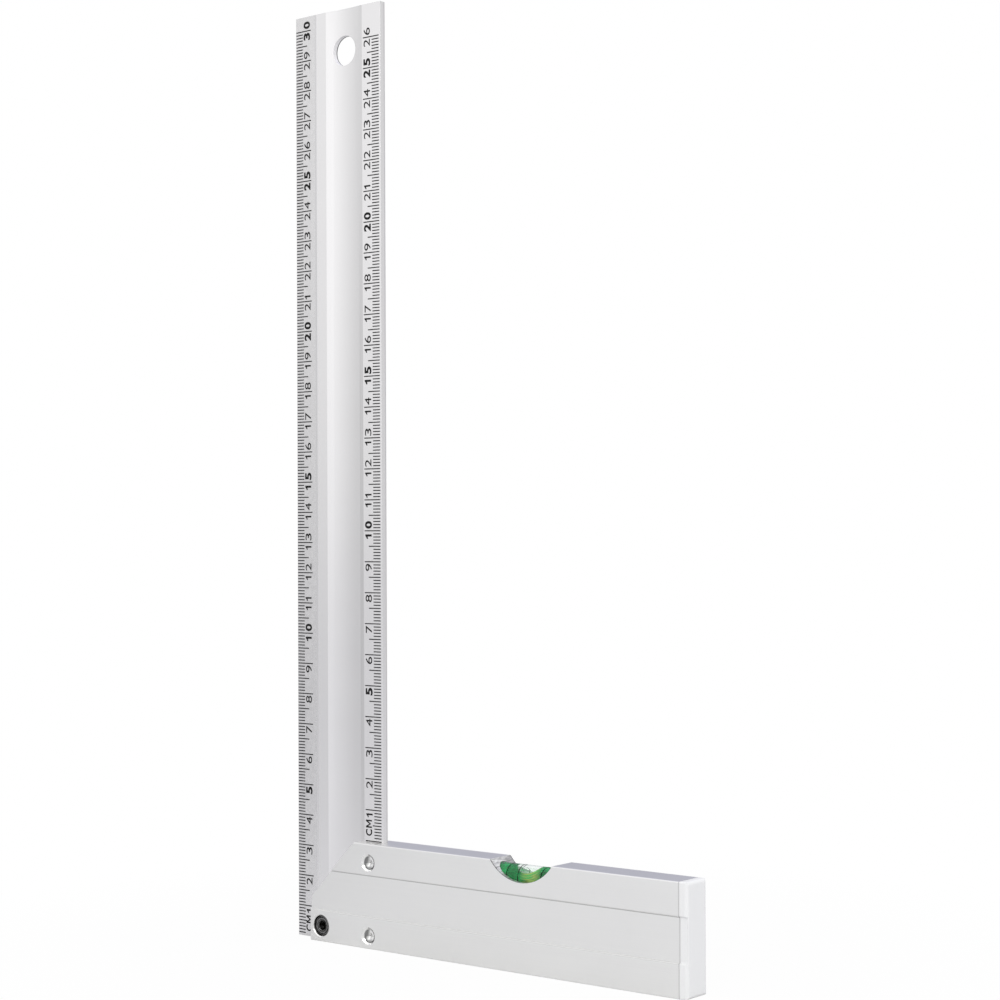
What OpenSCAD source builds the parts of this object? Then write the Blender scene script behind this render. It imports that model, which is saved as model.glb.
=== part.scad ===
// Carpenter square: a ruled aluminium blade standing in a hollow aluminium stock with a spirit vial.
// X runs along the stock, Y from the front face to the back, Z up the blade. Millimetres.
// The origin is the middle of the base, on the surface that the stock stands on.

/* [Blade] */
// Width of the blade, from its outer to its inner edge
blade_w = 38; // [34:0.5:60]
// Length of the blade, from the base up
blade_l = 304.7; // [200:0.1:500]
// Thickness of the blade
blade_t = 2.2; // [1.8:0.1:3]
// Width of the bevelled band along the outer edge
bevel_w = 8.8; // [7.2:0.1:12]
// How far the bevel falls back at the outer edge
bevel_drop = 0.3; // [0.1:0.05:0.6]
// Width of the narrow slope between the bevel and the flat
lip_w = 0.8; // [0.4:0.1:1.5]
// Height of that narrow slope
lip_drop = 0.12; // [0.05:0.01:0.2]
// Width of the flat inner band
inner_band_w = 8; // [7.8:0.1:12]
// Width of the shallow trough beside the inner band
trough_w = 16; // [12:0.5:18]
// Depth of the trough
trough_depth = 0.45; // [0.2:0.05:0.6]
// Diameter of the hole to hang the square by
hang_hole_d = 9.8; // [6:0.1:11]
// Distance of that hole's centre from the top of the blade
hang_hole_drop = 13.7; // [8:0.1:30]

/* [Scales] */
// Distance between two graduation marks
mark_pitch = 1; // [1:1:2]
// Width of a mark's line
mark_w = 0.34; // [0.2:0.02:0.5]
// Length of a millimetre mark
mark_short = 3; // [2:0.1:3.5]
// Length of a five millimetre mark
mark_middle = 5; // [3.6:0.1:5.5]
// Length of each scale's first five millimetre mark, which leaves room for the letters beside it
unit_mark = 3.7; // [3.2:0.1:4.5]
// Length of a centimetre mark
mark_long = 6.8; // [5.6:0.1:7]
// Distance of the outer marks from the outer edge
outer_mark_gap = 0.15; // [0.05:0.05:0.4]
// Distance of the inner marks from the inner edge
inner_mark_gap = 0.7; // [0.3:0.05:0.8]
// Height of the inner scale's zero above the stock
inner_zero_gap = 0.3; // [0.25:0.05:1]
// Least length of blade left plain past the last centimetre
plain_end = 4; // [2:0.5:8]
// Thickness of the printed ink
ink_t = 0.05; // [0.03:0.01:0.1]

/* [Stock] */
// Length of the stock's bottom face
stock_l = 145; // [125:0.5:220]
// Height of the stock
stock_h = 33.5; // [32:0.5:45]
// How far the stock's heel end lies in from the blade's outer edge
setback = 9.6; // [9:0.1:12]
// Height and length of the mitre that cuts off the stock's upper corner
mitre = 19.2; // [14:0.1:20]
// Thickness of the stock's walls
wall = 1.25; // [1.1:0.05:1.6]
// Height of the proud band along the bottom
lower_band_h = 10.3; // [9:0.1:12]
// Height of the proud band along the top
upper_band_h = 10.05; // [9.5:0.05:12]
// Depth of the recessed middle band
recess = 0.5; // [0.2:0.1:0.7]
// Radius of the stock's long edges
edge_r = 0.4; // [0.2:0.1:1]

/* [Heel] */
// Length of the filler block past the blade's inner edge
heel_past = 7.6; // [5:0.1:12]
// Clearance between parts that fit together
fit = 0.05; // [0.02:0.01:0.1]
// Diameter of the rivets
rivet_d = 3.6; // [3:0.1:4]
// Diameter of the rivets' countersinks at the face
sink_d = 5.6; // [5.2:0.1:6]
// How far the rivets' ends lie below the face
rivet_sunk = 0.55; // [0.3:0.05:0.6]
// Diameter of the dimple in the end of a rivet
dimple_d = 3; // [1.5:0.1:3.4]
// Depth of that dimple
dimple_depth = 0.7; // [0.3:0.05:1]
// Distance of the rivets from the blade's inner edge
rivet_inset = 3; // [2.5:0.1:4]
// Height of the lower rivet
lower_rivet_z = 4.15; // [4:0.05:6]
// Distance of the upper rivet below the top of the stock
upper_rivet_drop = 6; // [5:0.1:6.5]
// Thread diameter of the clamping screw
screw_d = 4; // [3:0.5:4]
// Diameter of the clamping screw's head
screw_head_d = 6.4; // [5.5:0.1:7]
// Chamfer around the edge of the head
screw_head_edge = 0.35; // [0.1:0.05:0.5]
// Radial gap around the head
screw_head_gap = 0.2; // [0.1:0.05:0.4]
// How far the head lies below the face
screw_sunk = 0.6; // [0.05:0.05:0.8]
// Chamfer around the mouth of the head's pocket
pocket_edge = 0.25; // [0.1:0.05:0.4]
// Width across the flats of the hexagon socket
socket_af = 3; // [2:0.5:3]
// Depth of the hexagon socket
socket_depth = 2; // [1:0.1:2.4]
// Chamfer around the mouth of the socket
socket_edge = 0.2; // [0.05:0.05:0.3]
// Distance of the screw from the stock's heel end
screw_inset = 4.6; // [4.3:0.1:5.6]
// Height of the screw
screw_z = 5.1; // [5:0.1:5.6]
// Diameter of the blade's hole around the screw, which leaves room to set the angle
screw_play_d = 5; // [4.4:0.1:5.4]

/* [Vial] */
// Distance of the vial notch's middle from the stock's heel end
notch_inset = 87.6; // [80:0.1:95]
// Radius of the notch
notch_r = 14.6; // [13:0.1:18]
// Depth of the notch
notch_depth = 6.15; // [5:0.05:7]
// Distance of the vial's middle from the notch's middle
vial_offset = 2.15; // [-3:0.05:3]
// Diameter of the vial
vial_d = 7.4; // [6.6:0.1:8]
// Length of the vial
vial_l = 40; // [36:0.5:46]
// Clearance of the vial in the stock
vial_gap = 0.15; // [0.1:0.05:0.3]
// Thickness of the vial's wall
vial_wall = 0.8; // [0.6:0.1:1.2]
// Thickness of the vial's closed end and of its plug
vial_end = 3; // [2:0.5:4]
// Length of the bubble
bubble_l = 8.6; // [6:0.1:12]
// Greatest depth of the bubble
bubble_depth = 1.5; // [1.2:0.1:2.4]
// Distance of the bubble's middle from the vial's middle
bubble_offset = -2.1; // [-4:0.1:4]
// Distance between the two marks beside the bubble
ring_pitch = 8.75; // [8:0.05:9.6]
// Distance of each outer mark from its neighbour
ring_step = 4.45; // [3:0.05:5]
// Width of a mark's line on the vial
ring_w = 0.3; // [0.2:0.05:0.5]

/* [End cap] */
// Thickness of the cap outside the stock
cap_t = 2.8; // [2:0.1:5]
// Radius of the cap's outer edges
cap_r = 1.1; // [0.5:0.1:1.5]
// Length of the plug inside the stock
plug_l = 9; // [5:0.5:15]
// Thickness of the plug's walls
plug_wall = 1.4; // [1:0.1:1.8]

/* [Hidden] */
$fn = 64;
// Every piece of the square, by name
// Overhang that lets a cut pass clear through a face
cut = 1;
// Stock and its hollow, which is as wide as the vial needs
hollow_t = vial_d + 2 * vial_gap;
stock_t = hollow_t + 2 * wall;
hollow_h = stock_h - 2 * wall;
recess_h = stock_h - lower_band_h - upper_band_h;
stock_front = -stock_t / 2;
stock_end = setback + stock_l;
overall_w = stock_end + cap_t;
// Blade
blade_front = -blade_t / 2;
bevel_edge = blade_front + lip_drop + bevel_drop;
bevel_angle = atan(bevel_drop / bevel_w);
trough_x = blade_w - inner_band_w - trough_w / 2;
trough_r = (trough_w * trough_w / 4 + trough_depth * trough_depth) / (2 * trough_depth);
// Whole centimetres on each scale
inner_zero = stock_h + inner_zero_gap;
outer_cm = floor((blade_l - plain_end) / 10);
inner_cm = floor((blade_l - inner_zero - plain_end) / 10);
// Fasteners in the heel
rivet_x = blade_w - rivet_inset;
upper_rivet_z = stock_h - upper_rivet_drop;
sink_depth = (sink_d - rivet_d) / 2;
rivet_end_d = sink_d - 2 * rivet_sunk;
rivet_half = stock_t / 2 - rivet_sunk;
screw_x = setback + screw_inset;
screw_front = stock_front + screw_sunk;
pocket_r = screw_head_d / 2 + screw_head_gap;
socket_d = socket_af / cos(30);
// Vial
notch_x = setback + notch_inset;
vial_x = notch_x + vial_offset;
vial_z = stock_h - wall - vial_gap - vial_d / 2;
cavity_r = vial_d / 2 - vial_wall;
cavity_l = vial_l - 2 * vial_end;
bubble_r = (bubble_l * bubble_l / 4 + bubble_depth * bubble_depth) / (2 * bubble_depth);

// Puts a shape that is drawn from the blade's outer edge about the origin
module from_heel() { translate([-overall_w / 2, 0, 0]) children(); }
// Extrudes an outline drawn in Y and Z along X
module along_x(length) { rotate([90, 0, 90]) linear_extrude(length) children(); }
// Extrudes an outline drawn in X and Z along Y, from one Y to another
module along_y(from, to) { translate([0, to, 0]) rotate([90, 0, 0]) linear_extrude(to - from) children(); }
// Cylinder along Y at a place in X and Z, from one Y to another
module rod_y(x, z, d, from, to) {
    translate([x, to, z]) rotate([90, 0, 0]) cylinder(h = to - from, d = d);
}
// Cylinder along X about the vial's axis, from one X to another
module rod_x(r, from, to) { translate([from, 0, vial_z]) rotate([0, 90, 0]) cylinder(h = to - from, r = r); }

// Rectangle with round corners, centred in its first direction and standing on the second
module round_box(w, h, r) {
    translate([-w / 2 + r, 0]) square([w - 2 * r, h]);
    translate([-w / 2, r]) square([w, h - 2 * r]);
    for (side = [-1, 1], z = [r, h - r]) translate([side * (w / 2 - r), z]) circle(r);
}
// Outline of the stock: two proud bands with round edges, and the recessed band between them
module stock_outline() {
    round_box(stock_t, lower_band_h, edge_r);
    translate([0, stock_h - upper_band_h]) round_box(stock_t, upper_band_h, edge_r);
    translate([-stock_t / 2 + recess, lower_band_h / 2])
        square([stock_t - 2 * recess, stock_h - lower_band_h / 2 - upper_band_h / 2]);
}
// Outline of the stock's hollow, drawn smaller by a gap all round. Its top is round, to hold the vial
module hollow_outline(gap = 0) {
    difference() {
        union() {
            translate([-hollow_t / 2 + gap, wall + gap])
                square([hollow_t - 2 * gap, hollow_h - hollow_t / 2 - gap]);
            translate([0, vial_z]) circle(hollow_t / 2 - gap);
        }
        for (side = [-1, 1]) translate([side * hollow_t / 2 - recess - gap, lower_band_h - wall - gap])
            square([2 * (recess + gap), recess_h + 2 * (wall + gap)]);
    }
}
// Everything above the mitre of the stock's end
module above_mitre() {
    along_y(-stock_t, stock_t) polygon([
        [setback - cut, stock_h - mitre - cut], [setback + mitre + cut, stock_h + cut],
        [setback - cut, stock_h + cut]]);
}
// Slot that takes the blade
module blade_slot() {
    translate([setback - cut, blade_front - fit, -cut])
        cube([blade_w + fit - setback + cut, blade_t + 2 * fit, stock_h + 2 * cut]);
}
// Holes for both rivets, each wider than its rivet by a gap
module rivet_holes() {
    for (z = [lower_rivet_z, upper_rivet_z]) rod_y(rivet_x, z, rivet_d + 2 * fit, -stock_t, stock_t);
}
// Countersinks of both rivets in the front and back faces
module countersinks() {
    for (z = [lower_rivet_z, upper_rivet_z], turn = [0, 180])
        translate([rivet_x, 0, z]) rotate([0, 0, turn]) translate([0, stock_front - fit, 0])
            rotate([-90, 0, 0]) cylinder(h = sink_depth, d1 = sink_d + 2 * fit, d2 = rivet_d + 2 * fit);
}
// Pocket of the clamping screw's head in front of the blade, and the screw's hole behind it
module screw_holes() {
    rod_y(screw_x, screw_z, 2 * pocket_r, stock_front - cut, blade_front);
    translate([screw_x, stock_front, screw_z]) rotate([-90, 0, 0])
        cylinder(h = pocket_edge, d1 = 2 * (pocket_r + pocket_edge), d2 = 2 * pocket_r);
    rod_y(screw_x, screw_z, screw_d + 2 * fit, 0, stock_t);
}

// Ruled strip with a bevelled outer edge, a shallow trough and a hole to hang it by
module blade() {
    color("gainsboro") from_heel() difference() {
        linear_extrude(blade_l) polygon([
            [0, bevel_edge], [bevel_w, blade_front + lip_drop], [bevel_w + lip_w, blade_front],
            [blade_w, blade_front], [blade_w, blade_t / 2], [0, blade_t / 2]]);
        translate([trough_x, blade_front + trough_depth - trough_r, -cut])
            cylinder(h = blade_l + 2 * cut, r = trough_r, $fn = 480);
        rod_y(trough_x, blade_l - hang_hole_drop, hang_hole_d, -blade_t, blade_t);
        rivet_holes();
        rod_y(screw_x, screw_z, screw_play_d, -blade_t, blade_t);
    }
}
// Length of the mark at a distance from the scale's zero
function mark_length(at) = at % 10 == 0 ? mark_long
    : at == 5 ? unit_mark
    : at % 5 == 0 ? mark_middle
    : mark_short;
// Row of graduation marks that start at x = 0 and point along a direction, 1 or -1
module marks(first, last, direction) {
    for (i = [first : last]) let (at = i * mark_pitch, length = mark_length(at))
        translate([direction > 0 ? 0 : -length, at - mark_w / 2]) square([length, mark_w]);
}
// Printed marks of the outer scale, which lie on the bevel
module outer_scale() {
    color("black") from_heel() translate([0, bevel_edge, 0]) rotate([0, 0, -bevel_angle])
        translate([outer_mark_gap, 0, 0]) along_y(-ink_t, 0) marks(1, outer_cm * 10 / mark_pitch, 1);
}
// Printed marks of the inner scale
module inner_scale() {
    color("black") from_heel() translate([blade_w - inner_mark_gap, blade_front, inner_zero])
        along_y(-ink_t, 0) marks(0, inner_cm * 10 / mark_pitch, -1);
}
// Hollow extruded bar with a mitred end, a slot for the blade and a notch over the vial
module stock() {
    color("silver") from_heel() difference() {
        translate([setback, 0, 0]) along_x(stock_l) stock_outline();
        translate([setback - cut, 0, 0]) along_x(stock_l + 2 * cut) hollow_outline();
        above_mitre();
        blade_slot();
        rod_y(notch_x, stock_h - notch_depth + notch_r, 2 * notch_r, -stock_t, stock_t);
        rivet_holes();
        countersinks();
        screw_holes();
    }
}
// Filler that fits the hollow, takes the blade in its slot and carries the fasteners.
// The pocket of the screw's head is open downwards, as the wall below it would be too thin.
module heel_block() {
    color("dimgray") from_heel() difference() {
        translate([setback, 0, 0]) along_x(blade_w - setback + heel_past) hollow_outline(fit);
        above_mitre();
        blade_slot();
        rivet_holes();
        screw_holes();
        translate([screw_x - pocket_r, -stock_t, -cut]) cube([2 * pocket_r, stock_t, screw_z + cut]);
    }
}
// Solid rivet, spread and dimpled at both ends
module rivet(z) {
    color("lightgray") from_heel() translate([rivet_x, 0, z]) difference() {
        union() {
            rotate([90, 0, 0]) cylinder(h = 2 * rivet_half, d = rivet_d, center = true);
            for (turn = [0, 180]) rotate([0, 0, turn]) translate([0, -rivet_half, 0]) rotate([-90, 0, 0])
                cylinder(h = sink_depth - rivet_sunk, d1 = rivet_end_d, d2 = rivet_d);
        }
        for (turn = [0, 180]) rotate([0, 0, turn]) translate([0, -rivet_half, 0]) rotate([-90, 0, 0])
            cylinder(h = dimple_depth, d1 = dimple_d, d2 = 0);
    }
}
module upper_rivet() { rivet(upper_rivet_z); }
module lower_rivet() { rivet(lower_rivet_z); }
// Socket head screw whose head bears on the blade
module clamp_screw() {
    color("black") from_heel() difference() {
        union() {
            rod_y(screw_x, screw_z, screw_head_d, screw_front + screw_head_edge, blade_front);
            translate([screw_x, screw_front, screw_z]) rotate([-90, 0, 0])
                cylinder(h = screw_head_edge, d1 = screw_head_d - 2 * screw_head_edge, d2 = screw_head_d);
            rod_y(screw_x, screw_z, screw_d, blade_front, -screw_front);
        }
        translate([screw_x, screw_front, screw_z]) rotate([-90, 90, 0])
            cylinder(h = socket_depth, d = socket_d, $fn = 6);
        translate([screw_x, screw_front, screw_z]) rotate([-90, 0, 0])
            cylinder(h = socket_edge, d1 = socket_d, d2 = socket_d - 2 * socket_edge);
    }
}
// Clear tube with one closed end
module vial_tube() {
    color("honeydew") from_heel() difference() {
        rod_x(vial_d / 2, vial_x - vial_l / 2, vial_x + vial_l / 2);
        rod_x(cavity_r, vial_x - cavity_l / 2, vial_x + vial_l / 2 + cut);
    }
}
// Plug that seals the tube
module vial_plug() {
    color("whitesmoke") from_heel() rod_x(cavity_r, vial_x + cavity_l / 2, vial_x + vial_l / 2);
}
// Liquid that fills the tube, less the lens of the bubble
module vial_liquid() {
    color("limegreen") from_heel() difference() {
        rod_x(cavity_r, vial_x - cavity_l / 2, vial_x + cavity_l / 2);
        rod_y(vial_x + bubble_offset, vial_z + cavity_r - bubble_depth + bubble_r, 2 * bubble_r,
            -vial_d, vial_d);
    }
}
// Black lines around the tube, two on each side of the bubble
module vial_rings() {
    color("black") from_heel() for (side = [-1, 1], step = [0, ring_step])
        let (x = vial_x + side * (ring_pitch / 2 + step)) difference() {
            rod_x(vial_d / 2 + ink_t, x - ring_w / 2, x + ring_w / 2);
            rod_x(vial_d / 2, x - ring_w, x + ring_w);
        }
}
// Moulded cap that follows the stock's outline and plugs into its hollow
module end_cap() {
    color("white") from_heel() translate([stock_end, 0, 0]) {
        intersection() {
            along_x(cap_t) stock_outline();
            rotate([0, 0, -90]) linear_extrude(stock_h) translate([0, -cap_t])
                round_box(stock_t, 2 * cap_t, cap_r);
            along_y(-stock_t, stock_t) translate([-cap_t, stock_h / 2]) rotate(-90)
                round_box(stock_h, 2 * cap_t, cap_r);
        }
        difference() {
            translate([-plug_l, 0, 0]) along_x(plug_l) hollow_outline(fit);
            translate([-plug_l - cut, 0, 0]) along_x(plug_l + cut) hollow_outline(fit + plug_wall);
        }
    }
}

blade();
outer_scale();
inner_scale();
stock();
heel_block();
upper_rivet();
lower_rivet();
clamp_screw();
vial_tube();
vial_plug();
vial_liquid();
vial_rings();
end_cap();
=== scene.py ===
"""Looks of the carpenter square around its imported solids. Metres, Z up, in the part's own frame."""
import math

import bmesh
import bpy
from mathutils import Matrix, Vector


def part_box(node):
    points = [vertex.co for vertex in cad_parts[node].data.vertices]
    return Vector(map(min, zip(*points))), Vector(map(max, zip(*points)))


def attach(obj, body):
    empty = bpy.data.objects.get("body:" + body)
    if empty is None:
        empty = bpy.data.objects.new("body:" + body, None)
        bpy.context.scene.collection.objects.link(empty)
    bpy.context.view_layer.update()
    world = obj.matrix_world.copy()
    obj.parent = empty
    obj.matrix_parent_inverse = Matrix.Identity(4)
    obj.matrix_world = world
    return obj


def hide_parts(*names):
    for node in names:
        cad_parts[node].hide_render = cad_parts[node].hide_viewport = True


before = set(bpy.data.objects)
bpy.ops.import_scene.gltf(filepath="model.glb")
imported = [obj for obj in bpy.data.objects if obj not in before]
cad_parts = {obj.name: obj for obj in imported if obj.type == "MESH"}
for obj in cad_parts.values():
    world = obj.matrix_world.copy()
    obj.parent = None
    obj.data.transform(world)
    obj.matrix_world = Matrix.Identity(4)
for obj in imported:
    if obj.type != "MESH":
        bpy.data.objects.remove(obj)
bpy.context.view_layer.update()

MM = 0.001
WHITE = (1, 1, 1, 1)

# Ends of a ramp that falls, and the ranges of noise that ramps are laid over
FADE = (1.0, 0.0)
NOISE_RANGE = (0.3, 0.7)
WIDE_RANGE = (0.2, 0.8)

# Camera, at the photograph's place
CAMERA_AT = Vector((413.93, -506.24, 133.75)) * MM
CAMERA_AZIMUTH = 38.783
CAMERA_RISE = 0.824
CAMERA_ROLL = -0.264
CAMERA_LENS = 75.995
CAMERA_NEAR = 0.01
SENSOR = 36.0

# Soft studio light. Azimuths count from the front towards the right, in degrees
ROOM_LEVEL = 0.45
ROOM_SIDE = 0.18
ROOM_TOP = 0.9
ROOM_BACK = 0.45
CEILING_EDGE = (0.19, 0.27, 1.0, 0.9)
CEILING_LAMP = (0.35, 0.8, 0.0, 0.26)
LIGHT_LIMIT = 1.23
GLOW_LEVEL = 0.87
GLOW_AZIMUTH = -15.0
GLOW_ELEVATION = 8.5
GLOW_SPREAD = 31.0
COOL_AZIMUTH = -141.0
COOL_REACH = (0.2, 0.9)
COOL_TINT = (0.93, 0.94, 1.29, 1)
COOL_DIM = 0.4
GLOSS_SHARE = 0.25
KEY = {"azimuth": 30.0, "elevation": 36.0, "size": 0.4, "power": 1.7}
FILL = {"azimuth": 95.0, "elevation": 15.0, "size": 0.7, "power": 1.4}
LAMP_DISTANCE = 1.2

# Floor: its tone, where painted shade darkens it to the left and at the back, and where it fades to white
FLOOR_SIZE = 12.0
FLOOR_TONE = 0.82
FLOOR_VARIES = 0.02
FLOOR_LEFT = (-62.0, -25.0, 0.47)
FLOOR_LEFT_BEND = 1.6
FLOOR_HERE = 0.79
FLOOR_AWAY = (0.0, 0.4)
FLOOR_BACK = (0.0, 0.3, 0.66)
FLOOR_NEAR_SHARE = 0.97
FLOOR_FADE = (0.08, 0.22)

# Metals: what each reflects, its roughness, its tint and the relief of its lines
BLADE_TONE = 0.9
BLADE_ROUGH = 0.22
BLADE_TINT = (1.0, 0.99, 1.0, 1)
STOCK_TONE = 0.88
STOCK_ROUGH = 0.34
STOCK_TINT = (1.0, 0.999, 0.99, 1)
HEEL_TONE = 0.62
HEEL_ROUGH = 0.5
RIVET_TONE = 0.86
RIVET_ROUGH = 0.14
TONE_VARIES = 0.012
ROUGH_VARIES = 0.02
LINE_SHARE = 0.5
SPECK_SHARE = 0.2
LINE_DEPTH = 0.001 * MM
PLAIN_DEPTH = 0.01 * MM
METAL_BUMP = 0.5
EDGE_R = 0.12 * MM
EDGE_SAMPLES = 4

# Grain of each surface: how fine its noise is along X, Y and Z, its detail and its roughness
GRAIN = {
    "lines up": ((2600, 2600, 9), 4.0, 0.6),
    "lines along": ((9, 2600, 2600), 4.0, 0.6),
    "rivet": ((900, 900, 900), 4.0, 0.6),
    "cloud": ((45, 45, 45), 2.0, 0.5),
    "speck": ((2500, 2500, 2500), 2.0, 0.5),
    "bevel": ((900, 900, 700), 3.0, 0.6),
    "lip": ((2600, 2600, 9), 3.0, 0.5),
    "drawn": ((1500, 10, 5), 2.0, 0.5),
    "back edge": ((900, 900, 30), 3.0, 0.5),
    "hole": ((300, 4000, 300), 2.0, 0.5),
    "cut": ((900, 900, 900), 2.0, 0.5),
    "pressed": ((700, 700, 700), 2.0, 0.5),
    "ledge": ((300, 2500, 2500), 2.0, 0.5),
    "groove": ((200, 2500, 2500), 3.0, 0.5),
    "seam": ((900, 900, 300), 3.0, 0.5),
    "notch": ((1500, 260, 1500), 4.0, 0.7),
    "torn": ((1300, 1300, 1300), 3.0, 0.7),
    "ink": ((1800, 1800, 1800), 3.0, 0.5),
    "steel": ((1500, 1500, 1500), 3.0, 0.5),
    "cap": ((3000, 3000, 3000), 2.0, 0.5),
    "haze": ((700, 700, 700), 2.0, 0.5),
    "swirl": ((260, 500, 900), 3.0, 0.6),
    "floor": ((60, 60, 60), 3.0, 0.5),
}

# Finish or painted shade of each even zone: what it multiplies the metal's tone by, and its roughness
FINISH_AND_SHADE = {
    "lip": (1.06, 0.3),
    "back edge": (0.75, 0.5),
    "sink": (1.06, 0.14),
    "pocket": (1.0, 0.27),
    "point": (0.45, 0.4),
    "ledge": (0.88, 0.5),
    "groove": (0.66, 0.5),
    "seam": (0.74, 0.5),
}

# Soft edges of the zones
EDGE_SOFT = 0.05 * MM
ROUND_SOFT = 0.04 * MM
CUT_SOFT = 0.03 * MM
CUT_OVER = 0.02 * MM

# Blade. A pair of lengths says where a zone starts and ends, counted from the edge or middle it belongs to
BEVEL_W = 8.8 * MM
BEVEL_DROP = 0.3 * MM
BEVEL_SHADE = (0.905, 0.975)
BEVEL_ROUGH = (0.22, 0.3)
LIP_DROP = 0.12 * MM
LIP_W = 0.8 * MM
INNER_BAND_W = 8.0 * MM
DRAWN_W = 1.8 * MM
DRAWN_START = (0.0, 0.36 * MM)
DRAWN_RANGE = (0.35, 0.65)
DRAWN_SHADE = (0.87, 0.98)
DRAWN_ROUGH = 0.24
FRONT_END = (0.3 * MM, 0.4 * MM)
BACK_EDGE_SIDE = (-0.3 * MM, -0.2 * MM)
BACK_EDGE_REAR = (-0.6 * MM, -0.4 * MM)
HOLE_D = 9.8 * MM
HOLE_DROP = 13.7 * MM
HOLE_SHIFT = 3.0 * MM
HOLE_REAR = (0.65 * MM, 0.8 * MM)
HOLE_SHADE = (1.1, 0.15)
HOLE_ROUGH = 0.5

# Scales and their lettering
INK_T = 0.05 * MM
INK_TONE = (0.003, 0.012)
INK_ROUGH = (0.5, 0.65)
INK_SPECULAR = 0.2
CENTIMETRE = 10 * MM
OUTER_COUNT = 30
INNER_COUNT = 26
DIGIT_H = 2.7 * MM
DIGIT_W = 2.38 * MM
BOLD_W = 2.45 * MM
LETTER_H = 2.5 * MM
LETTER_C_W = 2.15 * MM
LETTER_M_W = 2.55 * MM
LETTER_LIFT = 0.35 * MM
OUTER_BASE = 6.4 * MM
INNER_BASE = 4.5 * MM
INNER_ZERO_GAP = 0.3 * MM
GAP_ABOVE = 0.7 * MM
GAP_BELOW = 0.65 * MM
GAP_BELOW_ONE = 1.15 * MM
M_BELOW = 3.2 * MM
C_BELOW = 6.2 * MM
BOLD_EVERY = 5
PLAIN_WEIGHT = -0.002
LETTER_WEIGHT = 0.03
BOLD_WEIGHT = 0.05
NO_WEIGHT = "4"
OUTLINED = "1M"
ONE_PLAIN = (0.2, 0.46)
ONE_BOLD = (0.26, 0.54)
M_STEM = 0.19
LETTERS = {"C": LETTER_C_W, "M": LETTER_M_W}
FONT_CAP = 0.7
CURVE_STEPS = 5

# Stock's bands, and where painted shade darkens it and its ledge is rougher
LOWER_BAND_H = 10.3 * MM
UPPER_BAND_H = 10.05 * MM
LEDGE = (-0.45 * MM, 0.05 * MM)
GROOVE = (-0.3 * MM, 0.06 * MM)
SEAM = (-0.32 * MM, -0.24 * MM)

# Cap
CAP_SOFT = 0.5 * MM
CAP_SAMPLES = 8
CAP_TONE = (0.82, 0.87)
CAP_WARMTH = -0.003
CAP_ROUGH = (0.42, 0.52)
CAP_BUMP = 0.4
GRAIN_DEPTH = 0.02 * MM

# Fasteners in the heel
SINK_R = 2.8 * MM
RIVET_R = 2.02 * MM
RIVET_RIM = (2.02 * MM, 2.3 * MM)
# Rivets: spans and factors of the painted light and shade on their ends and rims
RIM_TURN = 1.0
RIM_SHADE_SPAN = (-2.4 * MM, 0.4 * MM)
RIM_SHADE = (0.75, 0.1)
RIM_ROUGH = 0.4
END_TURN = 0.4
END_SHADE_SPAN = (-1.1 * MM, 0.1 * MM)
END_SHADE = (0.3, 1.15)
END_ROUGH = 0.2
FOOT = (-1.5 * MM, -1.1 * MM)
FOOT_SHADE = (0.45, 1.0)
CREASE = (-0.1 * MM, 0.1 * MM)
CREASE_SHADE = 0.72
DIMPLE_POINT = (0.0, 0.22 * MM)
HEAD_GAP = 0.2 * MM
POCKET_EDGE = 0.25 * MM
FACE_INSET = 0.14 * MM
FACE_SOFT = 0.08 * MM
SOCKET_R = 1.5 * MM
SOCKET_SOFT = 0.12 * MM
RING_TURNS = 9000.0
RING_SHARE = 0.3
STEEL_METAL = 0.8
STEEL_TONE = (0.006, 0.22)
STEEL_ROUGH = (0.22, 0.34)
STEEL_BUMP = 0.3

# Notch of the vial
NOTCH_INSET = 87.6 * MM
NOTCH_R = 14.6 * MM
NOTCH_DEPTH = 6.15 * MM
NOTCH_RANGE = (0.36, 0.6)
NOTCH_SHADE = (0.45, 1.05)
NOTCH_ROUGH = 0.5
NOTCH_RELIEF = 6.0
NOTCH_REAR_SHADE = 0.7
TORN_DEPTH = 0.9 * MM
TORN_EDGE = (0.2 * MM, 0.38 * MM)
TORN_SHADE = (0.16, 1.0)

# Vial and its liquid. Optics are the index, and the share of light that passes
VIAL_WALL = 0.8 * MM
TUBE_COLOUR = (0.95, 1.0, 0.97, 1)
TUBE_ROUGH = (0.01, 0.04)
TUBE_IOR = 1.47
WET_OVER = 0.03 * MM
WET_SOFT = 0.02 * MM
BUBBLE_L = 8.6 * MM
BUBBLE_DEPTH = 1.5 * MM
BUBBLE_OFFSET = -2.1 * MM
BUBBLE_SOFT = 0.01 * MM
FILM = 0.02 * MM
ROUND = 96
CUTTER_RADII = 4
SHARP = 30.0
FEW_CORNERS = 6
LEVEL_NORMAL = 0.1
BODY_OPTICS = (1.0, 0.3)
MENISCUS_OPTICS = (1.25, 0.55)
EMERALD = (0.02, 0.88, 0.24, 1)
DEEP_GREEN = (0.0, 0.33, 0.08, 1)
LIT_GREEN = (0.74, 0.95, 0.25, 1)
THICK_GREEN = (0.2, 0.85, 0.4, 1)
GREEN_DENSITY = 120.0
SWIRL_RANGE = (0.4, 0.6)
LIT_OFFSET = 2.0 * MM
LIT_RISE = 0.3 * MM
LIT_R = 1.5 * MM
LIT_SOFT = 2.6 * MM
LIT_TURNS = 9000.0
LIT_SHARE = 0.12
LIT_STREAKS = (0.35, 0.55, 0.2, 1.0)


def direction(azimuth, elevation):
    """Unit vector towards an azimuth, counted from the front to the right, and an elevation, in degrees."""
    a, e = math.radians(azimuth), math.radians(elevation)
    return Vector((math.sin(a) * math.cos(e), -math.cos(a) * math.cos(e), math.sin(e)))


def new_object(name, data):
    """An object in the scene."""
    obj = bpy.data.objects.new(name, data)
    bpy.context.scene.collection.objects.link(obj)
    return obj


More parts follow.
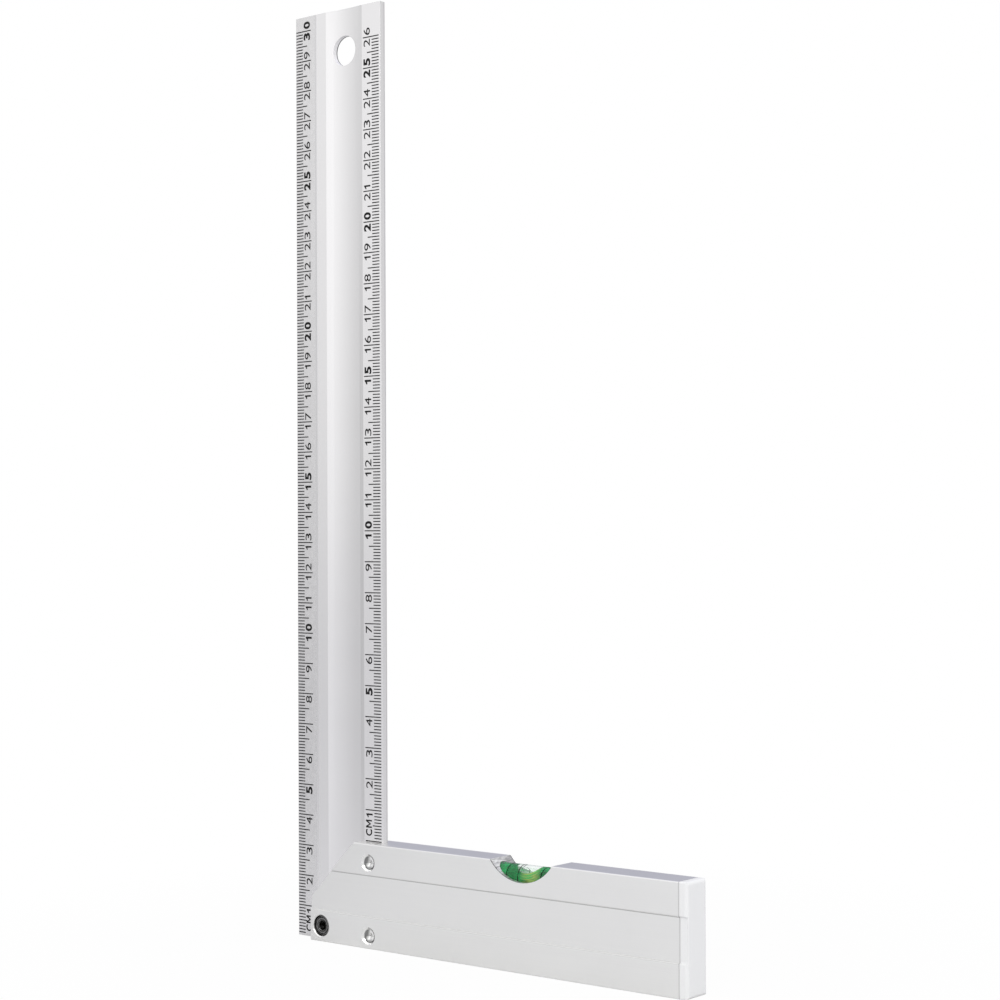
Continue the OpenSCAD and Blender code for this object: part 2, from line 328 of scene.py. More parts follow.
def mesh_from(work, name):
    """A bmesh as a mesh."""
    mesh = bpy.data.meshes.new(name)
    work.to_mesh(mesh)
    work.free()
    return mesh


def evaluated_mesh(obj):
    """The object's mesh with its modifiers, or its text as a mesh."""
    return bpy.data.meshes.new_from_object(obj.evaluated_get(bpy.context.evaluated_depsgraph_get()))


class Tree:
    """A short way to write a node tree."""

    def __init__(self, tree):
        self.tree = tree
        tree.nodes.clear()

    def node(self, kind, settings=None, **inputs):
        """A node with its settings and inputs. An underscore in an input's name stands for a space."""
        made = self.tree.nodes.new(kind)
        for name, value in (settings or {}).items():
            setattr(made, name, value)
        for name, value in inputs.items():
            self.put(made, name.replace("_", " "), value)
        return made

    def put(self, node, name, value):
        """Links a socket or a node to an input, or sets the input's value."""
        socket = node.inputs[name]
        if isinstance(value, bpy.types.NodeSocket):
            self.tree.links.new(value, socket)
        elif hasattr(value, "outputs"):
            self.tree.links.new(value.outputs[0], socket)
        else:
            socket.default_value = value

    def math(self, operation, a, b=0.0, c=0.0):
        """The result of a sum on values."""
        made = self.node("ShaderNodeMath", {"operation": operation})
        for i, x in enumerate((a, b, c)):
            self.put(made, i, x)
        return made.outputs[0]

    def vector(self, operation, a, b=(0, 0, 0)):
        """The result of a sum on vectors."""
        made = self.node("ShaderNodeVectorMath", {"operation": operation})
        self.put(made, 0, a)
        self.put(made, 1, b)
        return made.outputs["Value" if operation in ("DOT_PRODUCT", "LENGTH", "DISTANCE") else "Vector"]

    def ramp(self, value, low, high, to_low=0.0, to_high=1.0):
        """Turns a range of values into another, and holds its ends beyond."""
        return self.node("ShaderNodeMapRange", {"clamp": True}, Value=value, From_Min=low, From_Max=high,
                         To_Min=to_low, To_Max=to_high).outputs[0]

    def ramp_at(self, value, place, offsets, ends=(0.0, 1.0)):
        """A ramp between two offsets from a place."""
        return self.ramp(value, place + offsets[0], place + offsets[1], *ends)

    def mix(self, share, a, b):
        """Mixes two colours."""
        made = self.node("ShaderNodeMix", {"data_type": "RGBA"})
        for i, x in ((0, share), (6, a), (7, b)):
            self.put(made, i, x)
        return made.outputs[2]

    def blend(self, share, a, b):
        """Mixes two values."""
        made = self.node("ShaderNodeMix", {"data_type": "FLOAT"})
        for i, x in ((0, share), (2, a), (3, b)):
            self.put(made, i, x)
        return made.outputs[0]

    def mix_shader(self, share, a, b):
        """Mixes two shaders."""
        made = self.node("ShaderNodeMixShader")
        for i, x in enumerate((share, a, b)):
            self.put(made, i, x)
        return made

    def place(self, factors=(1, 1, 1)):
        """The place in the part's frame, with each direction multiplied by a factor."""
        here = self.node("ShaderNodeTexCoord").outputs["Object"]
        return self.node("ShaderNodeMapping", Vector=here, Scale=factors).outputs[0]

    def noise(self, grain):
        """The noise of a grain."""
        factors, detail, rough = GRAIN[grain]
        return self.node("ShaderNodeTexNoise", {"noise_dimensions": "3D"}, Vector=self.place(factors),
                         Scale=1.0, Detail=detail, Roughness=rough).outputs[0]

    def coordinate(self, axis):
        """One coordinate of the place."""
        return self.node("ShaderNodeSeparateXYZ", Vector=self.place()).outputs[axis]

    def away(self, centre, keep=(1, 0, 1)):
        """Distance from a centre, counted along the kept axes only."""
        apart = self.vector("SUBTRACT", self.place(), centre)
        return self.vector("LENGTH", self.vector("MULTIPLY", apart, keep))

    def within(self, centre, radius, soft, keep=(1, 0, 1)):
        """1 inside a radius around a centre, counted along the kept axes only, and 0 outside."""
        return self.ramp_at(self.away(centre, keep), radius, (0.0, soft), FADE)

    def between(self, value, low, high):
        """1 where a value lies between two others, and 0 elsewhere."""
        return self.math("COMPARE", value, (low + high) / 2, (high - low) / 2)

    def between_at(self, value, place, offsets):
        """1 where a value lies between two offsets from a place, and 0 elsewhere."""
        return self.between(value, place + offsets[0], place + offsets[1])

    def bump(self, height, strength, distance, normal=None):
        """A normal that follows a height."""
        made = self.node("ShaderNodeBump", Height=height, Strength=strength, Distance=distance)
        if normal is not None:
            self.put(made, "Normal", normal)
        return made.outputs[0]

    def surface(self, shader, volume=None):
        """The tree's output."""
        out = self.node("ShaderNodeOutputMaterial", Surface=shader)
        if volume is not None:
            self.put(out, "Volume", volume)


def grey(value, warmth=0.0):
    """A grey with its alpha, a little warmer or cooler."""
    return (value * (1 + warmth), value, value * (1 - warmth), 1.0)


def material(name):
    """A new node material and its tree."""
    made = bpy.data.materials.new(name)
    made.use_nodes = True
    return made, Tree(made.node_tree)


def centre_of(node):
    """Middle of a node's box."""
    low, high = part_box(node)
    return (low + high) / 2


def metal(name, tone, roughness, lines, line_depth, zones=(), tint=STOCK_TINT):
    """Anodised extrusion: fine lines run along it, and its tone and gloss vary a little with them.
    A zone is a function that returns its mask, its factor for the tone, its roughness and its relief."""
    made, tree = material(name)
    streaks = tree.noise(lines)
    cloud = tree.noise("cloud")
    speck = tree.noise("speck")
    clouded = tree.math("MULTIPLY", cloud, 1 - LINE_SHARE)
    mixed = tree.math("MULTIPLY_ADD", streaks, LINE_SHARE, clouded)
    level = tree.ramp(mixed, *NOISE_RANGE, tone - TONE_VARIES, tone + TONE_VARIES)
    shine = tree.ramp(mixed, *NOISE_RANGE, roughness - ROUGH_VARIES, roughness + ROUGH_VARIES)
    height = tree.math("MULTIPLY_ADD", speck, SPECK_SHARE, streaks)
    for zone in zones:
        mask, factor, rough, relief = zone(tree)
        level = tree.blend(mask, level, tree.math("MULTIPLY", level, factor))
        shine = tree.blend(mask, shine, rough)
        height = tree.blend(mask, height, relief)
    colour = tree.mix(level, grey(0), tint)
    rounded = tree.node("ShaderNodeBevel", {"samples": EDGE_SAMPLES}, Radius=EDGE_R)
    shader = tree.node("ShaderNodeBsdfPrincipled", Metallic=1.0, Base_Color=colour, Roughness=shine,
                       Normal=tree.bump(height, METAL_BUMP, line_depth, rounded))
    tree.surface(shader)
    return made


def front_only(tree, mask):
    """Keeps a mask off the rear of the blade."""
    front = tree.ramp_at(tree.coordinate("Y"), centre_of("blade").y, FRONT_END, FADE)
    return tree.math("MULTIPLY", mask, front)


def bevel_zone(tree):
    """The outer band was cut after the strip was anodised once, and is duller and mottled."""
    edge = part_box("blade")[0].x + BEVEL_W
    mask = tree.ramp_at(tree.coordinate("X"), edge, (-EDGE_SOFT, EDGE_SOFT), FADE)
    mottle = tree.noise("bevel")
    factor = tree.ramp(mottle, *NOISE_RANGE, *BEVEL_SHADE)
    return front_only(tree, mask), factor, tree.ramp(mottle, *NOISE_RANGE, *BEVEL_ROUGH), mottle


def lip_zone(tree):
    """The narrow slope beside the bevel, cut bright."""
    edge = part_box("blade")[0].x + BEVEL_W
    mask = tree.between_at(tree.coordinate("X"), edge, (0.0, LIP_W))
    return front_only(tree, mask), *FINISH_AND_SHADE["lip"], tree.noise("lip")


def drawn_zone(tree):
    """Dark drawing lines along the trough, where it meets the inner band."""
    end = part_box("blade")[1].x - INNER_BAND_W
    across = tree.coordinate("X")
    lines = tree.noise("drawn")
    mask = tree.math("MULTIPLY", tree.ramp_at(across, end - DRAWN_W, DRAWN_START),
                     tree.ramp_at(across, end, (0.0, EDGE_SOFT), FADE))
    return front_only(tree, mask), tree.ramp(lines, *DRAWN_RANGE, *DRAWN_SHADE), DRAWN_ROUGH, lines


def back_edge_zone(tree):
    """Darker along the rear edge of the blade's inner side."""
    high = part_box("blade")[1]
    side = tree.ramp_at(tree.coordinate("X"), high.x, BACK_EDGE_SIDE)
    rear = tree.ramp_at(tree.coordinate("Y"), high.y, BACK_EDGE_REAR)
    return tree.math("MULTIPLY", side, rear), *FINISH_AND_SHADE["back edge"], tree.noise("back edge")


def hole_zone(tree):
    """The drilled wall of the hole, a little brighter at the front and dark at the rear."""
    low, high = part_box("blade")
    centre = ((low.x + high.x) / 2 + HOLE_SHIFT, 0, high.z - HOLE_DROP)
    shade = tree.ramp_at(tree.coordinate("Y"), 0.0, HOLE_REAR, HOLE_SHADE)
    return tree.within(centre, HOLE_D / 2, ROUND_SOFT), shade, HOLE_ROUGH, tree.noise("hole")


def sink_zone(node):
    """The countersink around a rivet, cut bright."""
    def zone(tree):
        mask = tree.within(centre_of(node), SINK_R + CUT_OVER, CUT_SOFT)
        return mask, *FINISH_AND_SHADE["sink"], tree.noise("cut")
    return zone


def rivet_zones(node):
    """Painted light and shade on a rivet's end and rim, and the dark mark of the press in its middle."""
    middle = centre_of(node)

    def slant(tree, down):
        """Distance from the rivet's axis to the right and, by a share, down."""
        apart = tree.node("ShaderNodeSeparateXYZ", Vector=tree.vector("SUBTRACT", tree.place(), middle))
        return tree.math("MULTIPLY_ADD", apart.outputs["Z"], -down, apart.outputs["X"])

    def end(tree):
        """The dimpled end, with painted shade on its upper left and at its foot, a painted highlight
        towards its right, and a darker line across its middle.
        """
        side = tree.ramp(slant(tree, END_TURN), *END_SHADE_SPAN, *END_SHADE)
        foot = tree.ramp_at(tree.coordinate("Z"), middle.z, FOOT, FOOT_SHADE)
        crease = tree.between_at(tree.coordinate("Z"), middle.z, CREASE)
        creased = tree.ramp(crease, 0.0, 1.0, 1.0, CREASE_SHADE)
        shade = tree.math("MULTIPLY", tree.math("MULTIPLY", side, foot), creased)
        return tree.within(middle, RIVET_R, ROUND_SOFT), shade, END_ROUGH, tree.noise("pressed")

    def rim(tree):
        """The gap round the end, painted dark as shade, darkest on the right and at the bottom."""
        shade = tree.ramp(slant(tree, RIM_TURN), *RIM_SHADE_SPAN, *RIM_SHADE)
        return tree.between(tree.away(middle), *RIVET_RIM), shade, RIM_ROUGH, tree.noise("cut")

    def point(tree):
        """The mark of the press in the middle."""
        return tree.between(tree.away(middle), *DIMPLE_POINT), *FINISH_AND_SHADE["point"], tree.noise("cut")
    return end, rim, point


def pocket_zone(tree):
    """The pocket of the screw's head, cut bright."""
    low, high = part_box("clamp_screw")
    reach = (high.x - low.x) / 2 + HEAD_GAP + POCKET_EDGE + CUT_OVER
    mask = tree.within(centre_of("clamp_screw"), reach, CUT_SOFT)
    return mask, *FINISH_AND_SHADE["pocket"], tree.noise("cut")


def ledge_zone(tree):
    """The round edge of the lower band: rougher, with painted shade that tones down its highlight."""
    mask = tree.between_at(tree.coordinate("Z"), LOWER_BAND_H, LEDGE)
    return mask, *FINISH_AND_SHADE["ledge"], tree.noise("ledge")


def groove_zone(tree):
    """Painted shade in the corner under the upper band."""
    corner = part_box("stock")[1].z - UPPER_BAND_H
    mask = tree.between_at(tree.coordinate("Z"), corner, GROOVE)
    return mask, *FINISH_AND_SHADE["groove"], tree.noise("groove")


def seam_zone(tree):
    """Painted shade where the stock ends against its cap."""
    mask = tree.ramp_at(tree.coordinate("X"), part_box("stock")[1].x, SEAM)
    return mask, *FINISH_AND_SHADE["seam"], tree.noise("seam")


def notch_zone(tree):
    """The milled wall of the notch: cutter's marks across it, a ragged dark burr along its edges, and
    painted shade towards its rear.
    """
    low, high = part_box("stock")
    centre = (low.x + NOTCH_INSET, 0, high.z - NOTCH_DEPTH + NOTCH_R)
    cut = tree.noise("notch")
    torn = tree.math("MULTIPLY_ADD", tree.noise("torn"), TORN_DEPTH, -TORN_DEPTH / 2)
    inward = tree.math("SUBTRACT", high.y, tree.math("ABSOLUTE", tree.coordinate("Y")))
    burr = tree.ramp(tree.math("ADD", inward, torn), *TORN_EDGE, *TORN_SHADE)
    # Painted shade: the wall darkens towards the rear
    rear = tree.ramp(tree.coordinate("Y"), 0.0, high.y, 1.0, NOTCH_REAR_SHADE)
    marks = tree.ramp(cut, *NOTCH_RANGE, *NOTCH_SHADE)
    shade = tree.math("MULTIPLY", tree.math("MULTIPLY", marks, burr), rear)
    relief = tree.math("MULTIPLY", cut, NOTCH_RELIEF)
    return tree.within(centre, NOTCH_R, EDGE_SOFT), shade, NOTCH_ROUGH, relief


def ink():
    """Black printing ink, a little uneven."""
    made, tree = material("ink")
    speck = tree.noise("ink")
    dark, pale = INK_TONE
    shader = tree.node("ShaderNodeBsdfPrincipled", Base_Color=tree.mix(speck, grey(dark), grey(pale)),
                       Roughness=tree.ramp(speck, *NOISE_RANGE, *INK_ROUGH))
    tree.put(shader, "Specular IOR Level", INK_SPECULAR)
    tree.surface(shader)
    return made


def black_steel():
    """Blackened steel of the screw, turned on its face."""
    made, tree = material("black_steel")
    low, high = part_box("clamp_screw")
    middle = centre_of("clamp_screw")
    rings = tree.math("SINE", tree.math("MULTIPLY", tree.away(middle), RING_TURNS))
    speck = tree.noise("steel")
    mixed = tree.math("MULTIPLY_ADD", rings, RING_SHARE, speck)
    face = tree.within(middle, (high.x - low.x) / 2 - FACE_INSET, FACE_SOFT)
    socket = tree.within(middle, SOCKET_R, SOCKET_SOFT)
    worn = tree.math("MULTIPLY", tree.ramp(mixed, *WIDE_RANGE), tree.math("SUBTRACT", face, socket))
    dark, pale = STEEL_TONE
    tree.surface(tree.node("ShaderNodeBsdfPrincipled", Metallic=STEEL_METAL,
                           Base_Color=tree.mix(worn, grey(dark), grey(pale)),
                           Roughness=tree.ramp(speck, *NOISE_RANGE, *STEEL_ROUGH),
                           Normal=tree.bump(mixed, STEEL_BUMP, GRAIN_DEPTH)))
    return made


def cap_plastic():
    """White moulded plastic with a fine grain."""
    made, tree = material("cap_plastic")
    grain = tree.noise("cap")
    rounded = tree.node("ShaderNodeBevel", {"samples": CAP_SAMPLES}, Radius=CAP_SOFT)
    dark, pale = CAP_TONE
    colour = tree.mix(grain, grey(dark, CAP_WARMTH), grey(pale, CAP_WARMTH))
    tree.surface(tree.node("ShaderNodeBsdfPrincipled", Base_Color=colour,
                           Roughness=tree.ramp(grain, *NOISE_RANGE, *CAP_ROUGH),
                           Normal=tree.bump(grain, CAP_BUMP, GRAIN_DEPTH, rounded)))
    return made


def clear_plastic(name, wet):
    """Clear acrylic. Where the liquid wets the tube's inner wall, no surface shows."""
    made, tree = material(name)
    haze = tree.noise("haze")
    shader = tree.node("ShaderNodeBsdfPrincipled", Base_Color=TUBE_COLOUR, IOR=TUBE_IOR,
                       Roughness=tree.ramp(haze, *NOISE_RANGE, *TUBE_ROUGH))
    tree.put(shader, "Transmission Weight", 1.0)
    if wet:
        shader = tree.mix_shader(wet(tree), shader, tree.node("ShaderNodeBsdfTransparent"))
    tree.surface(shader)
    return made


def cavity_radius():
    """Radius of the tube's bore."""
    low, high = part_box("vial_tube")
    return (high.z - low.z) / 2 - VIAL_WALL


def bubble_centre():
    """Axis of the round cut that the bubble makes in the liquid, and its radius."""
    middle = centre_of("vial_tube")
    radius = ((BUBBLE_L / 2) ** 2 + BUBBLE_DEPTH ** 2) / (2 * BUBBLE_DEPTH)
    return Vector((middle.x + BUBBLE_OFFSET, 0, middle.z + cavity_radius() - BUBBLE_DEPTH + radius)), radius


def wet_wall(tree):
    """1 on the cavity's wall outside the bubble."""
    inside = tree.within(centre_of("vial_tube"), cavity_radius() + WET_OVER, WET_SOFT, (0, 1, 1))
    centre, radius = bubble_centre()
    dry = tree.within(centre, radius, BUBBLE_SOFT)
    return tree.math("MULTIPLY", inside, tree.math("SUBTRACT", 1.0, dry))


def green_spirit(name, index, clear):
    """Green liquid of the vial, paler and yellower under the bubble, where light gathers."""
    made, tree = material(name)
    swirl = tree.noise("swirl")
    bubble = bubble_centre()[0]
    lit_at = Vector((bubble.x + LIT_OFFSET, bubble.y, centre_of("vial_tube").z + LIT_RISE))
    arcs = tree.math("SINE", tree.math("MULTIPLY_ADD", tree.away(bubble), LIT_TURNS, swirl))
    streaks = tree.ramp(tree.math("MULTIPLY_ADD", arcs, LIT_SHARE, swirl), *LIT_STREAKS)
    lit = tree.math("MULTIPLY", tree.within(lit_at, LIT_R, LIT_SOFT), streaks)
    green = tree.mix(tree.ramp(swirl, *SWIRL_RANGE), EMERALD, DEEP_GREEN)
    shader = tree.node("ShaderNodeBsdfPrincipled", IOR=index, Roughness=0.0,
                       Base_Color=tree.mix(lit, green, LIT_GREEN))
    tree.put(shader, "Transmission Weight", clear)
    inside = tree.node("ShaderNodeVolumeAbsorption", Color=THICK_GREEN, Density=GREEN_DENSITY)
    tree.surface(shader, inside)
    return made


def dress(node, look):
    """Gives a CAD node a look."""
    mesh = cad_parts[node].data
    mesh.materials.clear()
    mesh.materials.append(look)


def dress_all():
    """Gives every CAD node that stays its look, and returns the ink."""
    black = ink()
    cut = (bevel_zone, lip_zone, drawn_zone, back_edge_zone, hole_zone)
    blade = metal("blade_aluminium", BLADE_TONE, BLADE_ROUGH, "lines up", LINE_DEPTH, cut, BLADE_TINT)
    dress("blade", blade)
    # The stock's zones: worked finishes, with painted shade at the ledge, the groove and the seam
    worked_and_shaded = (ledge_zone, groove_zone, seam_zone, notch_zone, pocket_zone,
              sink_zone("lower_rivet"), sink_zone("upper_rivet"))
    dress("stock", metal("stock_aluminium", STOCK_TONE, STOCK_ROUGH, "lines along", LINE_DEPTH, worked_and_shaded))
    dress("heel_block", metal("heel_metal", HEEL_TONE, HEEL_ROUGH, "lines along", PLAIN_DEPTH))
    # The rivets carry painted light and shade on their ends and rims
    for node in ("upper_rivet", "lower_rivet"):
        pressed = rivet_zones(node)
        dress(node, metal(node + "_aluminium", RIVET_TONE, RIVET_ROUGH, "rivet", PLAIN_DEPTH, pressed))
    for node in ("outer_scale", "inner_scale", "vial_rings"):
        dress(node, black)
    dress("clamp_screw", black_steel())
    dress("end_cap", cap_plastic())
    dress("vial_tube", clear_plastic("vial_clear", wet_wall))
    dress("vial_plug", clear_plastic("plug_clear", None))
    return black


def cylinder(name, radius, length, place, axis):
    """A cylinder around a place, laid down by a quarter turn about an axis."""
    work = bmesh.new()
    turn = Matrix.Rotation(math.radians(90), 4, axis)
    bmesh.ops.create_cone(work, cap_ends=True, segments=ROUND, radius1=radius, radius2=radius, depth=length,
                          matrix=Matrix.Translation(place) @ turn)
    return new_object(name, mesh_from(work, name))


def make_spirit():
    """The liquid, a hair thinner than the cavity it fills, with the bubble cut out of its top."""
    reach = cavity_radius() - FILM
    low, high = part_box("vial_liquid")
    centre, radius = bubble_centre()
    body = cylinder("vial_spirit", reach, high.x - low.x - 2 * FILM, centre_of("vial_tube"), "Y")
    cutter = cylinder("cutter", radius, CUTTER_RADII * reach, centre, "X")
    cut = body.modifiers.new("bubble", "BOOLEAN")
    cut.operation = "DIFFERENCE"
    cut.object = cutter
    mesh = evaluated_mesh(body)
    body.modifiers.clear()
    body.data = mesh
    bpy.data.objects.remove(cutter)
    mesh.materials.clear()
    mesh.materials.append(green_spirit("vial_green", *BODY_OPTICS))
    mesh.materials.append(green_spirit("vial_meniscus", *MENISCUS_OPTICS))
    for face in mesh.polygons:
        face.use_smooth = len(face.vertices) < FEW_CORNERS
        away = face.center - centre
        away.y = 0
        on_bubble = abs(away.length - radius) < FILM and abs(face.normal.y) < LEVEL_NORMAL
        face.material_index = int(on_bubble)
    mesh.set_sharp_from_angle(angle=math.radians(SHARP))
    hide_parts("vial_liquid")
    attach(body, "root")


def one_outline(stem, width):
    """Outline of the digit 1, one unit tall and anticlockwise, with its flag and without a foot.
    Its numbers are shares of the stem and of the height."""
    left, flag = width - stem, 0.72 * stem
    return [(width, 0), (width, 1), (width - 0.75 * stem, 1), (left - 0.12 * stem, 0.9), (left / 2, 0.81),
            (0, 0.765), (0, 0.765 - flag), (left / 2, 0.8 - flag), (left, 0.845 - flag), (left, 0)]


def m_outline(stem, width):
    """Outline of the letter M, one unit tall and anticlockwise.
    Its numbers are shares of the stem and of the height."""
    middle = width / 2
    return [(stem, 0), (stem, 0.66), (middle, 0.12), (width - stem, 0.66), (width - stem, 0), (width, 0),
            (width, 1), (width - 1.1 * stem, 1), (middle, 0.42), (1.1 * stem, 1), (0, 1), (0, 0)]


def outlined_glyph(text, bold, height):
    """Mesh of a glyph that is outlined here, a sheet of ink thick."""
    stem, width = ONE_BOLD if bold else ONE_PLAIN
    outline = one_outline(stem, width) if text == "1" else m_outline(M_STEM, LETTER_M_W / height)
    count = len(outline)
    corners = [(x * height, y * height, z) for z in (-INK_T / 2, INK_T / 2) for x, y in outline]
    below, above = list(range(count))[::-1], list(range(count, 2 * count))
    sides = [(i - 1, i, i + count, i + count - 1) for i in range(1, count)]
    last = (count - 1, 0, count, 2 * count - 1)
    mesh = bpy.data.meshes.new("outlined")
    mesh.from_pydata(corners, [], [below, above, *sides, last])
    return mesh


def weight(text, bold):
    """How far a glyph's outline moves outwards, as a share of its height."""
    if text in NO_WEIGHT:
        return 0.0
    if bold:
        return BOLD_WEIGHT
    return LETTER_WEIGHT if text in LETTERS else PLAIN_WEIGHT


def glyph(text, bold):
    """Mesh of one glyph, a sheet of ink thick, with its left foot at the origin."""
    height = LETTER_H if text in LETTERS else DIGIT_H
    if text in OUTLINED:
        return outlined_glyph(text, bold, height)
    curve = bpy.data.curves.new("glyph", "FONT")
    curve.body = text
    curve.size = height / FONT_CAP
    curve.extrude = INK_T / 2
    curve.offset = height * weight(text, bold)
    curve.resolution_u = CURVE_STEPS
    holder = new_object("glyph", curve)
    mesh = evaluated_mesh(holder)
    bpy.data.objects.remove(holder)
    width = LETTERS.get(text, BOLD_W if bold else DIGIT_W)
    xs = [v.co.x for v in mesh.vertices]
    widen = Matrix.Scale(width / (max(xs) - min(xs)), 4, (1, 0, 0))
    mesh.transform(widen @ Matrix.Translation((-min(xs), 0, 0)))
    return mesh


def place_glyph(work, text, bold, place, along, up, right_edge):
    """Adds a glyph to a bmesh, with its left or right edge at a place."""
    mesh = glyph(text, bold)
    shift = -max(v.co.x for v in mesh.vertices) if right_edge else 0.0
    turn = Matrix((along, up, along.cross(up))).transposed().to_4x4()
    mesh.transform(Matrix.Translation(place) @ turn @ Matrix.Translation((shift, 0, 0)))
    work.from_mesh(mesh)
    bpy.data.meshes.remove(mesh)


def numerals(name, base, up, zero, count, look):
    """The numbers along one scale: base is a point on their foot line, up points to their tops."""
    work = bmesh.new()
    along = Vector((0, 0, 1))
    for cm in range(1, count + 1):
        tick = base + along * (zero + cm * CENTIMETRE)
        digits = str(cm)
        bold = cm % BOLD_EVERY == 0
        below = GAP_BELOW_ONE if digits[0] == "1" else GAP_BELOW
        place_glyph(work, digits[0], bold, tick - along * below, along, up, True)
        if len(digits) > 1:
            place_glyph(work, digits[1], bold, tick + along * GAP_ABOVE, along, up, False)
        if cm == 1:
            lifted = tick + up * LETTER_LIFT
            place_glyph(work, "M", False, lifted - along * M_BELOW, along, up, True)
            place_glyph(work, "C", False, lifted - along * C_BELOW, along, up, True)
    mesh = mesh_from(work, name)
    mesh.materials.append(look)
    made = new_object(name, mesh)
    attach(made, "root")


def make_numerals(look):
    """The numbers and letters of both scales, the outer ones on the bevel, the inner ones on the flat."""
    low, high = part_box("blade")
    stock_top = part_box("stock")[1].z
    slope = math.atan(BEVEL_DROP / BEVEL_W)
    toward_edge = Vector((-math.cos(slope), math.sin(slope), 0))
    outward = Vector((-math.sin(slope), -math.cos(slope), 0))
    foot = Vector((low.x, low.y + LIP_DROP + BEVEL_DROP, 0)) - toward_edge * OUTER_BASE
    numerals("outer_numerals", foot + outward * INK_T / 2, toward_edge, 0.0, OUTER_COUNT, look)
    foot = Vector((high.x - INNER_BASE, low.y - INK_T / 2, 0))
    numerals("inner_numerals", foot, Vector((-1, 0, 0)), stock_top + INNER_ZERO_GAP, INNER_COUNT, look)


def make_camera():
    """A camera at the photograph's place."""
    data = bpy.data.cameras.new("camera")
    data.sensor_width = SENSOR
    data.lens = CAMERA_LENS
    data.clip_start = CAMERA_NEAR
    camera = new_object("camera", data)
    camera.matrix_world = (Matrix.Translation(CAMERA_AT)
                           @ Matrix.Rotation(math.radians(CAMERA_AZIMUTH), 4, "Z")
                           @ Matrix.Rotation(math.radians(90 + CAMERA_RISE), 4, "X")
                           @ Matrix.Rotation(math.radians(CAMERA_ROLL), 4, "Z"))
    bpy.context.scene.camera = camera


def seen_share(tree):
    """1 for what the camera sees straight or through glass, and a share for what metal shows."""
    path = tree.node("ShaderNodeLightPath")
    direct = tree.math("MAXIMUM", path.outputs["Is Camera Ray"], path.outputs["Is Transmission Ray"])
    mirrored = tree.math("MULTIPLY", path.outputs["Is Glossy Ray"], GLOSS_SHARE)
    return tree.math("MAXIMUM", direct, mirrored)


def make_room():
    """A pale room with a soft glow in front, and a white background."""
    world = bpy.data.worlds.new("room")
    bpy.context.scene.world = world
    world.use_nodes = True
    tree = Tree(world.node_tree)
    toward = tree.node("ShaderNodeTexCoord").outputs["Generated"]
    facing = tree.vector("DOT_PRODUCT", toward, direction(GLOW_AZIMUTH, GLOW_ELEVATION))
    angle = tree.math("DIVIDE", tree.math("ARCCOSINE", facing), math.radians(GLOW_SPREAD))
    glow = tree.math("EXPONENT", tree.math("MULTIPLY", tree.math("MULTIPLY", angle, angle), -1.0))
    side = tree.vector("DOT_PRODUCT", toward, (ROOM_SIDE, 0, 0))
    height = tree.vector("DOT_PRODUCT", toward, (0, 0, 1))
    ahead = tree.vector("DOT_PRODUCT", toward, (0, -1, 0))
    above = tree.math("MULTIPLY", tree.ramp(height, 0.0, 1.0, 0.0, ROOM_TOP),
                      tree.ramp(ahead, -1.0, 1.0, ROOM_BACK, 1.0))
    base = tree.math("ADD", tree.math("ADD", side, above), ROOM_LEVEL)
    level = tree.math("MINIMUM", tree.math("MULTIPLY_ADD", glow, GLOW_LEVEL, base), LIGHT_LIMIT)
    edge, lamp = tree.ramp(height, *CEILING_EDGE), tree.ramp(height, *CEILING_LAMP)
    level = tree.math("MULTIPLY_ADD", level, edge, lamp)
    cool = tree.ramp(tree.vector("DOT_PRODUCT", toward, direction(COOL_AZIMUTH, 0)), *COOL_REACH)
    level = tree.math("MULTIPLY", level, tree.ramp(cool, 0.0, 1.0, 1.0, 1.0 - COOL_DIM))
    light = tree.node("ShaderNodeBackground", Color=tree.mix(cool, WHITE, COOL_TINT), Strength=level)
    white = tree.node("ShaderNodeBackground", Color=WHITE, Strength=1.0)
    tree.node("ShaderNodeOutputWorld", Surface=tree.mix_shader(seen_share(tree), light, white))


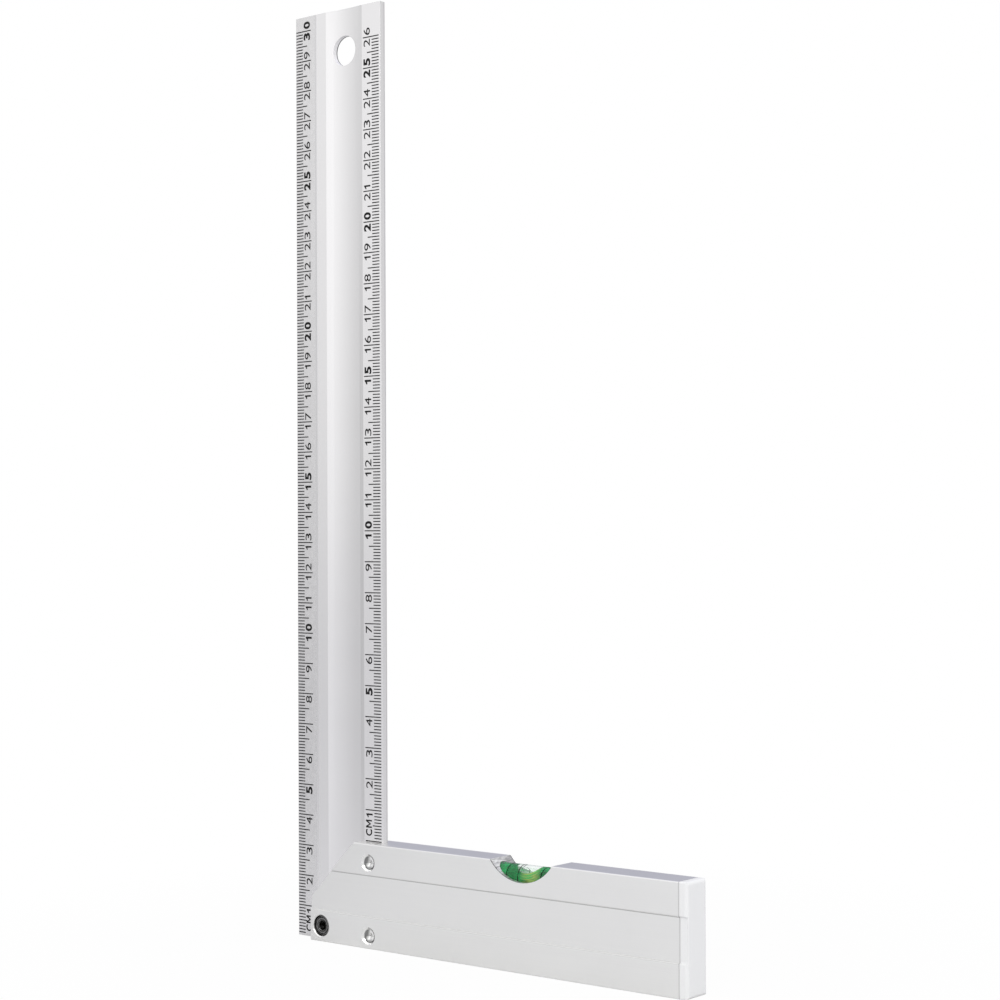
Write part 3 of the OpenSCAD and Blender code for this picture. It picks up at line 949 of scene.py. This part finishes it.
def make_lamp(name, azimuth, elevation, size, power):
    """A round soft lamp that points at the object."""
    data = bpy.data.lights.new(name, "AREA")
    data.shape = "DISK"
    data.size = size
    data.energy = power
    lamp = new_object(name, data)
    toward = direction(azimuth, elevation)
    lamp.location = toward * LAMP_DISTANCE
    lamp.rotation_euler = toward.to_track_quat("Z", "Y").to_euler()


def make_floor():
    """Pale floor that keeps the object's shadow, with painted shade to the left and at the back that the
    metal reflects, and fades to white away from it.
    """
    mesh = bpy.data.meshes.new("floor")
    half = FLOOR_SIZE / 2
    corners = [(-half, -half, 0), (half, -half, 0), (half, half, 0), (-half, half, 0)]
    mesh.from_pydata(corners, [], [(0, 1, 2, 3)])
    look, tree = material("floor")
    low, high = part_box("blade")
    from_blade = tree.math("SUBTRACT", tree.coordinate("X"), (low.x + high.x) / 2)
    azimuth = tree.math("ARCTAN2", from_blade, tree.math("MULTIPLY", tree.coordinate("Y"), -1.0))
    # Painted shade on the floor, darker to the left and at the back, which the metal reflects
    start, end, shade = FLOOR_LEFT
    turned = tree.ramp(azimuth, math.radians(start), math.radians(end))
    left = tree.ramp(tree.math("POWER", turned, FLOOR_LEFT_BEND), 0.0, 1.0, shade, 1.0)
    from_middle = tree.vector("LENGTH", tree.place())
    left = tree.blend(tree.ramp(from_middle, *FLOOR_AWAY), FLOOR_HERE, left)
    start, end, shade = FLOOR_BACK
    back = tree.ramp(tree.coordinate("Y"), start, end, 1.0, shade)
    pale, dark = FLOOR_TONE + FLOOR_VARIES, FLOOR_TONE - FLOOR_VARIES
    grain = tree.ramp(tree.noise("floor"), *WIDE_RANGE, dark, pale)
    tone = tree.math("MULTIPLY", tree.math("MULTIPLY", left, back), grain)
    plain = tree.node("ShaderNodeBsdfDiffuse", Color=tree.mix(tone, grey(0), grey(1)))
    white = tree.node("ShaderNodeEmission", Color=WHITE, Strength=1.0)
    far = tree.ramp(from_middle, *FLOOR_FADE, FLOOR_NEAR_SHARE, 1.0)
    tree.surface(tree.mix_shader(tree.math("MULTIPLY", far, seen_share(tree)), plain, white))
    mesh.materials.append(look)
    new_object("floor", mesh)


make_camera()
make_room()
make_lamp("key", **KEY)
make_lamp("fill", **FILL)
make_floor()
bpy.context.scene.view_settings.view_transform = "Standard"
black_ink = dress_all()
make_spirit()
make_numerals(black_ink)
